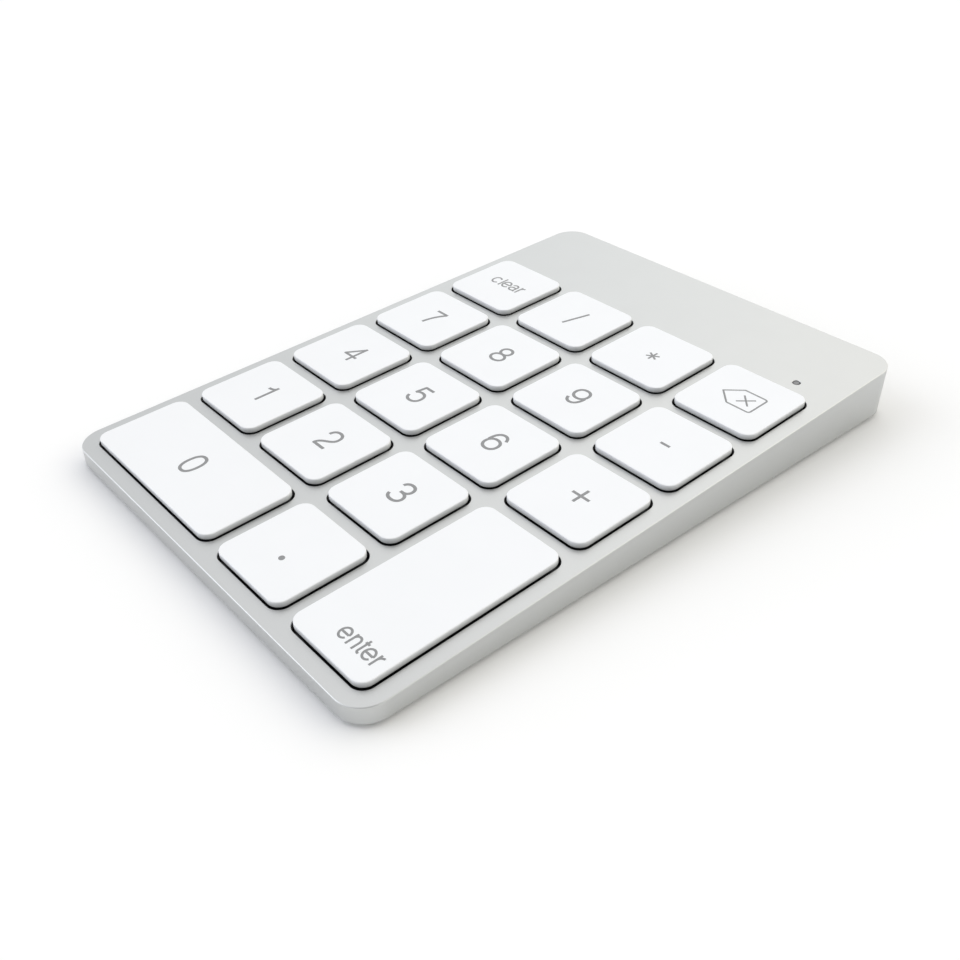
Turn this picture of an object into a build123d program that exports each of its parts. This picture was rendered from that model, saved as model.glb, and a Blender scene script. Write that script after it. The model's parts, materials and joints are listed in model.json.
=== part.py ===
from build123d import *
from collections import namedtuple
from math import asin, cos, degrees, radians, sin, tan
import os

os.makedirs("parts", exist_ok=True)

# Wireless numeric keypad: a thin aluminium shell with a sloping deck, eighteen scissor keys over
# rubber domes and a membrane, and a cell and circuit board in the deep rear end.
# Millimetres. The origin is on the table under the middle of the footprint, +X to the right,
# +Y to the back, +Z up. Heights named _W are measured along the deck's normal from its surface.

# ---- Housing
WIDTH = 79.4                # left to right
DEPTH = 114.7               # front to back
CORNER_R = 4.6              # plan corners
TILT = 3.0                  # slope of the deck in degrees, rising to the back
FOOT_H = 0.8                # the feet hold the housing this far off the table
FRONT_H = 2.75              # height of the front side wall
WALL_T = 1.4                # side wall
DECK_T = 1.0                # deck plate
EDGE_R = 0.15               # rounding between the deck and the side walls
RIM_BREAK = 0.06            # broken edge around each key opening
FLOOR_T = 0.6               # bottom cover
COVER_GAP = 0.1             # clearance between the bottom cover and the side walls
COVER_BREAK = 0.15          # broken lower edge of the bottom cover

# ---- Key field
COLUMN_PITCH = 19.05
ROW_PITCH = 18.68
KEY_GAP = 2.84              # between two neighbouring keycaps
KEY_R = 2.0                 # plan corners of a keycap
OPENING_GAP = 0.30          # between a keycap and the deck
OPENING_R = 2.15            # plan corners of a key opening
GRID_BACK = 19.95           # from the deck's rear edge to the rear boundary of the first row
KEY_ROWS = [
    ["clear", "divide", "multiply", "backspace"],
    ["7", "8", "9", "minus"],
    ["4", "5", "6", "plus"],
    ["1", "2", "3", "enter"],
    ["0", None, "point", None],
]
SPANS = {"0": (2, 1), "enter": (1, 2)}      # columns and rows that the two long keys cover

# ---- Keycap
KEY_TOP_W = 1.0
KEY_EDGE_R = 0.15
BRIM_W = 0.09               # lower edge of the white outer wall, just clear of the deck
SKIRT_W = -0.25             # lower edge of the inset black skirt
SKIRT_INSET = 0.35
ROOF_W = 0.3                # underside of the keycap's top
SKIRT_T = 1.1
TRAVEL = 1.2                # how far a key goes down

# ---- Layers under the keys
PLATE_TOP_W = -1.8          # steel base plate
PLATE_T = 0.3
FILM_T = 0.08               # each of the three membrane films
MEMBRANE_W = PLATE_TOP_W + 3 * FILM_T
PLATE_HALF_W = 37.9
PLATE_MARGIN = 0.3          # from the front wall to the plate
PLATE_BACK = 38.0           # rear edge of the plate, along the deck from its middle
FILM_INSET = 0.3            # the films stop short of the plate's edge
FILM_PLAY = 0.15            # around the hooks and bosses that stand through the films
CONTACT_R = 2.0             # contact holes of the middle film

# ---- Scissor under each key, in the key's own frame: x along its long side, y to its rear
LINK_T = 0.4
LINK_BAR = 0.8              # width of a link's arms and bars
LINK_PLAY = 0.03            # free space over and under a scissor
LINK_END_ROOM = 1.13        # a sloping link's end is this many times as high as the link is thick
OUTER_SPAN = 11.0
OUTER_LENGTH = 10.0
INNER_SPAN = 8.6
INNER_LENGTH = 8.0
CENTRE_PIN_R = 0.10
CENTRE_HOLE_R = 0.13
END_PIN_R = 0.15
END_PIN_REACH = 0.6
HOOK_T = 0.3                # pressed-up tabs of the base plate that hold the links
HOOK_WIDTH = 1.2
HOOK_TOP_W = -0.98
HOOK_HOLE_R = 0.19
RIB_T = 0.3                 # ribs under a keycap that guide a link's upper bar
RIB_LENGTH = 2.4
RIB_GAP = 0.06

# ---- Stabiliser wire under the two long keys
WIRE_R = 0.25
WIRE_HALF_SPAN = 14.0
WIRE_ARM = 6.0
WIRE_BAR_Y = -5.9
WIRE_BEND_R = 0.7
WIRE_TOE = 1.1              # bent-out end that turns in a hook
WIRE_ROOF_GAP = 0.05
WIRE_HOLE_R = 0.29
WIRE_CLIP_X = 10.0

# ---- Screws through the base plate into bosses under the deck
PLATE_BOSS_R = 0.95
PLATE_PILOT_R = 0.55
PLATE_PILOT_END_W = -0.5
PLATE_SCREW_R = 0.5
PLATE_SCREW_TIP_W = -0.7
PLATE_PASS_R = 0.65
PLATE_HEAD_R = 1.1
PLATE_HEAD_H = 0.35
PLATE_SCREW_CROSS = (1.5, 0.3, 0.2)         # length, width and depth of the cross slot

# ---- Rear compartment
POST_R = 2.2
SCREW_SPOTS = [(35.6, 53.2), (-35.6, 53.2), (35.6, 41.0), (-35.6, 41.0)]
SCREW_R = 0.95
SCREW_HEAD_R = 1.8
SCREW_TIP_Z = 7.0
SCREW_TIP_ROOM = 0.2        # the pilot holes run on past the tips
SCREW_SINK = 0.05           # heads lie this deep in their seats
SCREW_SEAT_GAP = 0.1
SCREW_CROSS = (2.0, 0.4, 0.5)
PILOT_R = 1.0
PASS_R = 1.15
BOARD_Z = 3.0               # underside of the circuit board
BOARD_T = 0.8
BOARD_LEFT = -1.5
BOARD_RIGHT = 37.8
BOARD_FRONT = 37.8
BOARD_BACK = 55.6
BOARD_CORNER_R = 2.8
PILLAR_R = 1.2              # rest pillars under the board's left corners
PILLAR_INSET = 2.0
CELL_SIZE = (30.0, 16.8, 3.8)
CELL_CENTRE = (-17.9, 46.0)
CELL_EDGE_R = 1.2
CELL_GAP = 0.2              # between the cell and its frame of ribs
CELL_LIFT = 0.05            # between the cell and the floor
CELL_RIB_T = 0.8
CELL_RIB_H = 1.6
CELL_GATE = (4.0, 6.0)      # opening in the frame for the wires
LEAD_R = 0.35               # the cell's two wires
LEAD_SPACING = 1.6
PORT_X = 4.0
PORT_SIZE = (7.5, 5.4, 2.6)
PORT_R = 0.5
PORT_SINK = 0.3             # the mouth lies inside the rear wall's face
PORT_MOUTH = [(-3.4, 0.95), (3.4, 0.95), (3.4, -0.1), (2.6, -0.95), (-2.6, -0.95), (-3.4, -0.1)]
PORT_BACK_T = 0.6
TONGUE_SIZE = (4.4, 0.6)    # contact tongue in the port
TONGUE_HEIGHT = 0.45        # over the port's middle
TONGUE_SINK = 0.8
SWITCH_X = 15.5
SWITCH_SIZE = (8.0, 3.0, 3.0)
SWITCH_THROW = 2.0
KNOB_SIZE = (3.0, 1.6)
KNOB_NECK = (1.2, 0.8)
KNOB_NECK_PLAY = 0.15
KNOB_NECK_REACH = 1.4       # from the rear wall's inside towards the front
KNOB_SINK = 0.15            # the knob stays inside the rear wall's face
KNOB_GROOVE = (0.25, 0.9, 0.2)              # width, length and depth of the grip grooves
KNOB_GROOVE_PITCH = 0.9
SWITCH_WELL = 1.6
CONTROL_GAP = 0.3           # from the rear wall's inside to the switch
PAIRING_X = 26.0
PAIRING_R = 1.1
PAIRING_EDGE_R = 0.2
PAIRING_SINK = 0.1
PAIRING_THROW = 0.4
PAIRING_BODY = (4.0, 2.2, 3.0)
PAIRING_GAP = 0.9           # from the rear wall's inside to the push switch
PAIRING_STEM_R = 0.7
PAIRING_STEM_REACH = 1.2    # from the button's cap
PAIRING_WELL_R = 0.8
SIGHT_GAP = 0.2             # clearance of port and controls in the rear wall
PORT_OPENING_R = 0.6
LENS_X = 31.35
LENS_V = 39.96              # along the deck from its middle
LENS_R = 0.68
LENS_HOLE_R = 0.70
LENS_TOP_W = -0.05
LENS_END_W = -3.4
LENS_FLANGE_R = 1.36
LENS_FLANGE_T = 0.5
LENS_FLANGE_GAP = 0.02
LED_SIZE = (1.6, 0.8, 0.5)
FOOT_R = 4.5
FOOT_EDGE_R = 0.25
FOOT_RECESS = 0.25
FOOT_SEAT_GAP = 0.1
FOOT_SPOTS = [(31.0, 48.0), (-31.0, 48.0), (31.0, -48.0), (-31.0, -48.0)]

# ---- Worked out from the above
SLOPE = radians(TILT)
WALL_Z = FOOT_H                                         # lower edge of the side walls
FLOOR_Z = FOOT_H + FLOOR_T                              # inside of the bottom cover
DECK_LENGTH = DEPTH / cos(SLOPE)
GRID_V = DECK_LENGTH / 2 - GRID_BACK
BOARD_TOP = BOARD_Z + BOARD_T
PORT_Z = BOARD_TOP + PORT_SIZE[2] / 2                   # middle of the port
CONTROL_Z = BOARD_TOP + SWITCH_SIZE[2] / 2              # middle of the rear controls
PAIRING_STEM_IN = PAIRING_SINK + PAIRING_STEM_REACH - PAIRING_GAP           # in the push switch
LINK_HALF = LINK_T / 2 * LINK_END_ROOM                  # half height of a sloping link's end
LINK_HIGH_W = ROOF_W - LINK_PLAY - LINK_HALF
LINK_LOW_W = MEMBRANE_W + LINK_PLAY + LINK_HALF
LINK_MID_W = (LINK_HIGH_W + LINK_LOW_W) / 2
OUTER_TILT = degrees(asin((LINK_HIGH_W - LINK_LOW_W) / OUTER_LENGTH))
INNER_TILT = degrees(asin((LINK_HIGH_W - LINK_LOW_W) / INNER_LENGTH))
WIRE_HIGH_W = ROOF_W - WIRE_ROOF_GAP - WIRE_R
WIRE_LOW_W = MEMBRANE_W + LINK_PLAY + WIRE_R
WIRE_PIVOT_Y = WIRE_BAR_Y + WIRE_ARM * cos(asin((WIRE_HIGH_W - WIRE_LOW_W) / WIRE_ARM))


def deck_z(y):
    """Height of the deck's surface over the table, at a distance y behind the middle."""
    return WALL_Z + FRONT_H + (y + DEPTH / 2) * tan(SLOPE)


DECK = Plane(origin=(0, 0, deck_z(0)), x_dir=(1, 0, 0), z_dir=(0, -sin(SLOPE), cos(SLOPE)))
REAR = Plane(origin=(0, DEPTH / 2, 0), x_dir=(1, 0, 0), z_dir=(0, -1, 0))
DECK_AXIS = Axis(DECK.origin, DECK.z_dir)

Key = namedtuple("Key", "name length width spot seat")


def lay_out_keys():
    """Each key's size, its place on the deck, and the plane on the deck that it is built on.

    A key that is longer front to back than across is turned, so that x runs along it.
    """
    keys = []
    for row, names in enumerate(KEY_ROWS):
        for column, name in enumerate(names):
            if name is None:
                continue
            columns, rows = SPANS.get(name, (1, 1))
            across = columns * COLUMN_PITCH - KEY_GAP
            deep = rows * ROW_PITCH - KEY_GAP
            u = (column + columns / 2 - len(KEY_ROWS[0]) / 2) * COLUMN_PITCH
            v = GRID_V - (row + rows / 2) * ROW_PITCH
            turned = rows > columns
            spot = Location((u, v, 0), (0, 0, 90 if turned else 0))
            size = (deep, across) if turned else (across, deep)
            keys.append(Key(name, size[0], size[1], spot, Plane(DECK.location * spot)))
    return keys


KEYS = lay_out_keys()
LONG_KEYS = [key for key in KEYS if key.name in SPANS]
ALL_SPOTS = [key.spot for key in KEYS]
LONG_SPOTS = [key.spot for key in LONG_KEYS]

# Web crossings between the keys, where the base plate is screwed to the deck
PLATE_SCREW_SPOTS = [
    ((column - 2) * COLUMN_PITCH, GRID_V - row * ROW_PITCH)
    for column in (1, 3)
    for row in (1, 2, 3, 4)
]

# Places of the hooks in a key's frame, shared by the base plate and the membrane's windows
OUTER_HOOK = (
    OUTER_SPAN / 2 + END_PIN_REACH / 2,
    -OUTER_LENGTH / 2 * cos(radians(OUTER_TILT)),
)
INNER_HOOK = (
    INNER_SPAN / 2 - LINK_BAR - END_PIN_REACH / 2,
    INNER_LENGTH / 2 * cos(radians(INNER_TILT)),
)
WIRE_HOOK = (WIRE_HALF_SPAN + WIRE_R + WIRE_TOE / 2, WIRE_PIVOT_Y)


def both_sides(spot):
    return [(spot[0], spot[1]), (-spot[0], spot[1])]


LINK_HOOKS = both_sides(OUTER_HOOK) + both_sides(INNER_HOOK)


def write(part, name):
    """Name a finished piece and write it."""
    part.label = name
    export_step(part, f"parts/{name}.step")


# ================================================================ keys
def make_keycap(length, width, long_key):
    """Keycap on Plane.XY: a cup with an inset skirt, and ribs that guide the links' upper bars."""
    with BuildPart() as keycap:
        with BuildSketch(Plane.XY.offset(BRIM_W)):
            RectangleRounded(length, width, KEY_R)
        extrude(amount=KEY_TOP_W - BRIM_W)
        fillet(keycap.faces().sort_by(Axis.Z)[-1].edges(), radius=KEY_EDGE_R)
        with BuildSketch(Plane.XY.offset(SKIRT_W)):
            RectangleRounded(length - 2 * SKIRT_INSET, width - 2 * SKIRT_INSET, KEY_R - SKIRT_INSET)
        extrude(amount=BRIM_W - SKIRT_W)
        with BuildSketch(Plane.XY.offset(SKIRT_W)):
            RectangleRounded(length - 2 * SKIRT_T, width - 2 * SKIRT_T, KEY_R - SKIRT_T)
        extrude(amount=ROOF_W - SKIRT_W, mode=Mode.SUBTRACT)
        bar_offset = LINK_BAR / 2 + RIB_GAP + RIB_T / 2
        with BuildSketch(Plane.XY.offset(SKIRT_W)):
            for bar_y in (OUTER_LENGTH / 2, -INNER_LENGTH / 2):
                with Locations((0, bar_y - bar_offset), (0, bar_y + bar_offset)):
                    Rectangle(RIB_LENGTH, RIB_T)
            if long_key:
                front_y = WIRE_BAR_Y - WIRE_R - RIB_GAP - (WIRE_ARM - (WIRE_PIVOT_Y - WIRE_BAR_Y))
                rear_y = WIRE_BAR_Y + WIRE_R + RIB_GAP
                with Locations(*both_sides((WIRE_CLIP_X, front_y - RIB_T / 2))):
                    Rectangle(RIB_LENGTH, RIB_T)
                with Locations(*both_sides((WIRE_CLIP_X, rear_y + RIB_T / 2))):
                    Rectangle(RIB_LENGTH, RIB_T)
        extrude(amount=ROOF_W - SKIRT_W)
    return keycap.part


def make_scissor():
    """Scissor on Plane.XY: the outer link rises to the rear, the inner link to the front."""
    outer_plane = Plane(origin=(0, 0, LINK_MID_W)).rotated((OUTER_TILT, 0, 0))
    inner_plane = Plane(origin=(0, 0, LINK_MID_W)).rotated((-INNER_TILT, 0, 0))
    pivot_plane = Plane(origin=(0, 0, LINK_MID_W), x_dir=(0, 1, 0), z_dir=(1, 0, 0))
    with BuildPart() as scissor:
        with BuildSketch(outer_plane):
            with Locations(*both_sides(((OUTER_SPAN - LINK_BAR) / 2, 0))):
                Rectangle(LINK_BAR, OUTER_LENGTH + LINK_BAR)
            with Locations((0, OUTER_LENGTH / 2)):
                Rectangle(OUTER_SPAN, LINK_BAR)
        extrude(amount=LINK_T / 2, both=True)
        with BuildSketch(pivot_plane):
            Circle(CENTRE_HOLE_R)
        extrude(amount=OUTER_SPAN, both=True, mode=Mode.SUBTRACT)
        for side in (1, -1):
            toe_x = side * (OUTER_SPAN / 2 - END_PIN_R)
            toe = Plane(origin=(toe_x, OUTER_HOOK[1], LINK_LOW_W), x_dir=(0, 1, 0), z_dir=(side, 0, 0))
            with BuildSketch(toe):
                Circle(END_PIN_R)
            extrude(amount=END_PIN_REACH + END_PIN_R)

        with BuildSketch(inner_plane):
            with Locations(*both_sides(((INNER_SPAN - LINK_BAR) / 2, 0))):
                Rectangle(LINK_BAR, INNER_LENGTH + LINK_BAR)
            with Locations((0, -INNER_LENGTH / 2)):
                Rectangle(INNER_SPAN, LINK_BAR)
        extrude(amount=LINK_T / 2, both=True)
        for side in (1, -1):
            pin = Plane(origin=(side * (INNER_SPAN / 2 - CENTRE_PIN_R), 0, LINK_MID_W),
                        x_dir=(0, 1, 0), z_dir=(side, 0, 0))
            with BuildSketch(pin):
                Circle(CENTRE_PIN_R)
            extrude(amount=(OUTER_SPAN - INNER_SPAN) / 2)
            toe_x = side * (INNER_SPAN / 2 - LINK_BAR + END_PIN_R)
            toe = Plane(origin=(toe_x, INNER_HOOK[1], LINK_LOW_W), x_dir=(0, 1, 0), z_dir=(-side, 0, 0))
            with BuildSketch(toe):
                Circle(END_PIN_R)
            extrude(amount=END_PIN_REACH + END_PIN_R)
    return scissor.part


def make_dome():
    """Rubber dome on Plane.XY: a flange, a thin bell and a thick crown with a plunger inside."""
    flange_r = 3.0
    flange_width = 0.7
    bell_r = 2.5                # outer radius of the bell where it meets the flange
    crown_r = 1.6
    plunger_r = 0.7
    wall = 0.2
    shoulder_drop = 0.4         # from the crown to where the bell starts to widen
    crown_t = 0.6
    crown_w = ROOF_W - LINK_PLAY
    shoulder_w = crown_w - shoulder_drop
    inner_roof_w = crown_w - crown_t
    with BuildPart() as dome:
        with BuildSketch(Plane.XZ):
            with BuildLine():
                Polyline(
                    (0, crown_w), (crown_r, crown_w), (crown_r, shoulder_w),
                    (bell_r, MEMBRANE_W + wall), (flange_r, MEMBRANE_W + wall),
                    (flange_r, MEMBRANE_W), (flange_r - flange_width, MEMBRANE_W),
                    (crown_r - wall, inner_roof_w), (plunger_r, inner_roof_w),
                    (plunger_r, MEMBRANE_W + TRAVEL), (0, MEMBRANE_W + TRAVEL),
                    close=True,
                )
            make_face()
        revolve(axis=Axis.Z)
    return dome.part


def make_stabiliser():
    """Stabiliser wire on Plane.XY: a bar under the keycap, two arms, and toes that turn in hooks."""
    knee = WIRE_HALF_SPAN
    toe = WIRE_HALF_SPAN + WIRE_R + WIRE_TOE
    with BuildPart() as wire:
        with BuildLine() as path:
            FilletPolyline(
                (-toe, WIRE_PIVOT_Y, WIRE_LOW_W), (-knee, WIRE_PIVOT_Y, WIRE_LOW_W),
                (-knee, WIRE_BAR_Y, WIRE_HIGH_W), (knee, WIRE_BAR_Y, WIRE_HIGH_W),
                (knee, WIRE_PIVOT_Y, WIRE_LOW_W), (toe, WIRE_PIVOT_Y, WIRE_LOW_W),
                radius=WIRE_BEND_R,
            )
        with BuildSketch(Plane(origin=path.line @ 0, z_dir=path.line % 0)):
            Circle(WIRE_R)
        sweep()
    return wire.part


STANDARD_CAP = make_keycap(COLUMN_PITCH - KEY_GAP, ROW_PITCH - KEY_GAP, False)
SCISSOR = make_scissor()
DOME = make_dome()
STABILISER = make_stabiliser()

for key in KEYS:
    cap = make_keycap(key.length, key.width, True) if key in LONG_KEYS else STANDARD_CAP
    with BuildPart() as keycap:
        with Locations(key.seat):
            add(cap)
    write(keycap.part, f"keycap_{key.name}")

    with BuildPart() as scissor:
        with Locations(key.seat):
            add(SCISSOR)
    write(scissor.part, f"scissor_{key.name}")

for key in LONG_KEYS:
    with BuildPart() as stabiliser:
        with Locations(key.seat):
            add(STABILISER)
    write(stabiliser.part, f"stabiliser_{key.name}")

with BuildPart() as rubber_domes:
    with Locations(*[key.seat for key in KEYS]):
        add(DOME)
write(rubber_domes.part, "rubber_domes")


# ================================================================ base plate and membrane
PLATE_FRONT = -DECK_LENGTH / 2 + WALL_T + PLATE_MARGIN
PLATE_DEPTH = PLATE_BACK - PLATE_FRONT
PLATE_MIDDLE = (0, (PLATE_BACK + PLATE_FRONT) / 2)


def make_hooks(spots, hole_r, hole_w):
    """Pressed-up tabs on Plane.XY, each with a hole that a pin turns in."""
    middle_w = (HOOK_TOP_W + PLATE_TOP_W) / 2
    with BuildPart() as hooks:
        for x, y in spots:
            side = Plane(origin=(x, y, middle_w), x_dir=(0, 1, 0), z_dir=(1, 0, 0))
            with BuildSketch(side):
                Rectangle(HOOK_WIDTH, HOOK_TOP_W - PLATE_TOP_W)
                with Locations((0, hole_w - middle_w)):
                    Circle(hole_r, mode=Mode.SUBTRACT)
            extrude(amount=HOOK_T / 2, both=True)
    return hooks.part


LINK_HOOK_SET = make_hooks(LINK_HOOKS, HOOK_HOLE_R, LINK_LOW_W)
WIRE_HOOK_SET = make_hooks(both_sides(WIRE_HOOK), WIRE_HOLE_R, WIRE_LOW_W)

with BuildPart() as base_plate:
    with BuildSketch(DECK.offset(PLATE_TOP_W - PLATE_T)):
        with Locations(PLATE_MIDDLE):
            RectangleRounded(2 * PLATE_HALF_W, PLATE_DEPTH, CORNER_R - WALL_T)
        with Locations(*PLATE_SCREW_SPOTS):
            Circle(PLATE_PASS_R, mode=Mode.SUBTRACT)
    extrude(amount=PLATE_T)
    with Locations(*[key.seat for key in KEYS]):
        add(LINK_HOOK_SET)
    with Locations(*[key.seat for key in LONG_KEYS]):
        add(WIRE_HOOK_SET)
write(base_plate.part, "base_plate")


def make_film(level, contact_holes=False):
    """One membrane film, with windows for the hooks and bosses and, in the middle one, contact holes."""
    size = (2 * (PLATE_HALF_W - FILM_INSET), PLATE_DEPTH - 2 * FILM_INSET)
    window = (HOOK_T + 2 * FILM_PLAY, HOOK_WIDTH + 2 * FILM_PLAY)
    with BuildPart() as film:
        with BuildSketch(DECK.offset(PLATE_TOP_W + level * FILM_T)):
            with Locations(PLATE_MIDDLE):
                RectangleRounded(size[0], size[1], CORNER_R - WALL_T)
            with Locations(*PLATE_SCREW_SPOTS):
                Circle(PLATE_BOSS_R + FILM_PLAY, mode=Mode.SUBTRACT)
            with Locations(*ALL_SPOTS):
                with Locations(*LINK_HOOKS):
                    Rectangle(*window, mode=Mode.SUBTRACT)
                if contact_holes:
                    Circle(CONTACT_R, mode=Mode.SUBTRACT)
            with Locations(*LONG_SPOTS):
                with Locations(*both_sides(WIRE_HOOK)):
                    Rectangle(*window, mode=Mode.SUBTRACT)
        extrude(amount=FILM_T)
    return film.part


TAIL_X = 11.0               # the membrane's tail leaves for the board here
TAIL_WIDTH = 10.0
TAIL_BEND_R = 0.8
TAIL_GAP = 0.05             # from the tail's end to its connector
CONNECTOR_Y = 42.0
CONNECTOR_SIZE = (12.0, 3.0, 1.2)
CONNECTOR_R = 0.2
TAIL_BACK = 47.5
TAIL_END_Z = BOARD_TOP + CONNECTOR_SIZE[2] / 2

tail_start = DECK.from_local_coords(Vector(0, PLATE_BACK - 2 * FILM_INSET, PLATE_TOP_W + FILM_T / 2))
tail_run = TAIL_BACK - tail_start.Y
with BuildPart() as membrane_bottom_film:
    add(make_film(0))
    with BuildLine() as tail_path:
        FilletPolyline(
            (TAIL_X, tail_start.Y, tail_start.Z),
            (TAIL_X, TAIL_BACK, tail_start.Z + tail_run * tan(SLOPE)),
            (TAIL_X, CONNECTOR_Y + CONNECTOR_SIZE[1] / 2 + TAIL_GAP, TAIL_END_Z),
            radius=TAIL_BEND_R,
        )
    with BuildSketch(Plane(origin=tail_path.line @ 0, x_dir=(1, 0, 0), z_dir=tail_path.line % 0)):
        Rectangle(TAIL_WIDTH, FILM_T)
    sweep()
write(membrane_bottom_film.part, "membrane_bottom_film")
write(make_film(1, contact_holes=True), "membrane_spacer")
write(make_film(2), "membrane_top_film")

with BuildPart() as plate_screws:
    plate_bottom_w = PLATE_TOP_W - PLATE_T
    with BuildSketch(DECK.offset(plate_bottom_w)):
        with Locations(*PLATE_SCREW_SPOTS):
            Circle(PLATE_HEAD_R)
    extrude(amount=-PLATE_HEAD_H)
    with BuildSketch(DECK.offset(plate_bottom_w)):
        with Locations(*PLATE_SCREW_SPOTS):
            Circle(PLATE_SCREW_R)
    extrude(amount=PLATE_SCREW_TIP_W - plate_bottom_w)
    with BuildSketch(DECK.offset(plate_bottom_w - PLATE_HEAD_H)):
        with Locations(*PLATE_SCREW_SPOTS):
            Rectangle(PLATE_SCREW_CROSS[0], PLATE_SCREW_CROSS[1])
            Rectangle(PLATE_SCREW_CROSS[1], PLATE_SCREW_CROSS[0])
    extrude(amount=PLATE_SCREW_CROSS[2], mode=Mode.SUBTRACT)
write(plate_screws.part, "plate_screws")


# ================================================================ top shell
with BuildPart() as shell_cavity:
    with BuildSketch(Plane.XY):
        RectangleRounded(WIDTH - 2 * WALL_T, DEPTH - 2 * WALL_T, CORNER_R - WALL_T)
    extrude(amount=deck_z(DEPTH / 2))
    split(bisect_by=DECK.offset(-DECK_T), keep=Keep.BOTTOM)

with BuildPart() as top_shell:
    with BuildSketch(Plane.XY.offset(WALL_Z)):
        RectangleRounded(WIDTH, DEPTH, CORNER_R)
    extrude(amount=deck_z(DEPTH / 2))
    split(bisect_by=DECK, keep=Keep.BOTTOM)
    fillet(top_shell.faces().filter_by(DECK).edges(), radius=EDGE_R)
    add(shell_cavity.part, mode=Mode.SUBTRACT)

    # key openings and the status light's hole
    with BuildSketch(DECK):
        for key in KEYS:
            with Locations(key.spot):
                RectangleRounded(key.length + 2 * OPENING_GAP, key.width + 2 * OPENING_GAP, OPENING_R)
        with Locations((LENS_X, LENS_V)):
            Circle(LENS_HOLE_R)
    extrude(amount=-2 * DECK_T, mode=Mode.SUBTRACT)
    deck_face = top_shell.faces().filter_by(DECK).sort_by(DECK_AXIS)[-1]
    chamfer(deck_face.inner_wires().edges(), length=RIM_BREAK)

    # bosses at the web crossings for the base plate's screws
    with BuildSketch(DECK.offset(-DECK_T)):
        with Locations(*PLATE_SCREW_SPOTS):
            Circle(PLATE_BOSS_R)
    extrude(amount=PLATE_TOP_W + DECK_T)
    with BuildSketch(DECK.offset(PLATE_TOP_W)):
        with Locations(*PLATE_SCREW_SPOTS):
            Circle(PLATE_PILOT_R)
    extrude(amount=PLATE_PILOT_END_W - PLATE_TOP_W, mode=Mode.SUBTRACT)

    # bosses for the bottom cover's screws, which end on the board or on the cover's posts
    for x, y in SCREW_SPOTS:
        with BuildSketch(Plane.XY.offset(BOARD_TOP)):
            with Locations((x, y)):
                Circle(POST_R)
        extrude(amount=deck_z(y) - DECK_T / 2 - BOARD_TOP)
    with BuildSketch(Plane.XY.offset(BOARD_TOP)):
        with Locations(*SCREW_SPOTS):
            Circle(PILOT_R)
    extrude(amount=SCREW_TIP_Z + SCREW_TIP_ROOM - BOARD_TOP, mode=Mode.SUBTRACT)

    # port, switch and button openings in the rear wall
    with BuildSketch(REAR):
        with Locations((PORT_X, PORT_Z)):
            RectangleRounded(PORT_SIZE[0] + 2 * SIGHT_GAP, PORT_SIZE[2] + 2 * SIGHT_GAP, PORT_OPENING_R)
        with Locations((SWITCH_X, CONTROL_Z)):
            SlotOverall(KNOB_SIZE[0] + SWITCH_THROW + 2 * SIGHT_GAP, KNOB_SIZE[1] + 2 * SIGHT_GAP)
        with Locations((PAIRING_X, CONTROL_Z)):
            Circle(PAIRING_R + SIGHT_GAP)
    extrude(amount=2 * WALL_T, both=True, mode=Mode.SUBTRACT)
write(top_shell.part, "top_shell")


# ================================================================ bottom cover, feet and screws
COVER_INSET = WALL_T + COVER_GAP
CELL_FRAME = (CELL_SIZE[0] + 2 * CELL_GAP, CELL_SIZE[1] + 2 * CELL_GAP)

with BuildPart() as bottom_cover:
    with BuildSketch(Plane.XY.offset(WALL_Z)):
        RectangleRounded(WIDTH - 2 * COVER_INSET, DEPTH - 2 * COVER_INSET, CORNER_R - COVER_INSET)
    extrude(amount=FLOOR_T)
    chamfer(bottom_cover.faces().sort_by(Axis.Z)[0].edges(), length=COVER_BREAK)

    # posts that carry the board on the right, and meet the shell's bosses on the left
    with BuildSketch(Plane.XY.offset(WALL_Z)):
        with Locations(*SCREW_SPOTS):
            Circle(POST_R)
    extrude(amount=BOARD_Z - WALL_Z)
    with BuildSketch(Plane.XY.offset(WALL_Z)):
        with Locations(*[spot for spot in SCREW_SPOTS if spot[0] < 0]):
            Circle(POST_R)
    extrude(amount=BOARD_TOP - WALL_Z)
    with Locations(*[Location((x, y, WALL_Z), (180, 0, 0)) for x, y in SCREW_SPOTS]):
        CounterSinkHole(
            radius=PASS_R,
            counter_sink_radius=SCREW_HEAD_R + SCREW_SEAT_GAP,
            depth=2 * BOARD_TOP,
        )

    # two rest pillars for the board's left corners
    with BuildSketch(Plane.XY.offset(WALL_Z)):
        for pillar_y in (BOARD_FRONT + PILLAR_INSET, BOARD_BACK - PILLAR_INSET):
            with Locations((BOARD_LEFT + PILLAR_INSET, pillar_y)):
                Circle(PILLAR_R)
    extrude(amount=BOARD_Z - WALL_Z)

    # frame of ribs around the cell, open towards the board for its wires
    with BuildSketch(Plane.XY.offset(WALL_Z)):
        with Locations(CELL_CENTRE):
            Rectangle(CELL_FRAME[0] + 2 * CELL_RIB_T, CELL_FRAME[1] + 2 * CELL_RIB_T)
            Rectangle(*CELL_FRAME, mode=Mode.SUBTRACT)
        with Locations((CELL_CENTRE[0] + CELL_SIZE[0] / 2, CELL_CENTRE[1])):
            Rectangle(*CELL_GATE, mode=Mode.SUBTRACT)
    extrude(amount=FLOOR_T + CELL_RIB_H)

    # shallow seats for the feet
    with BuildSketch(Plane.XY.offset(WALL_Z)):
        with Locations(*FOOT_SPOTS):
            Circle(FOOT_R + FOOT_SEAT_GAP)
    extrude(amount=FOOT_RECESS, mode=Mode.SUBTRACT)
write(bottom_cover.part, "bottom_cover")

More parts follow.
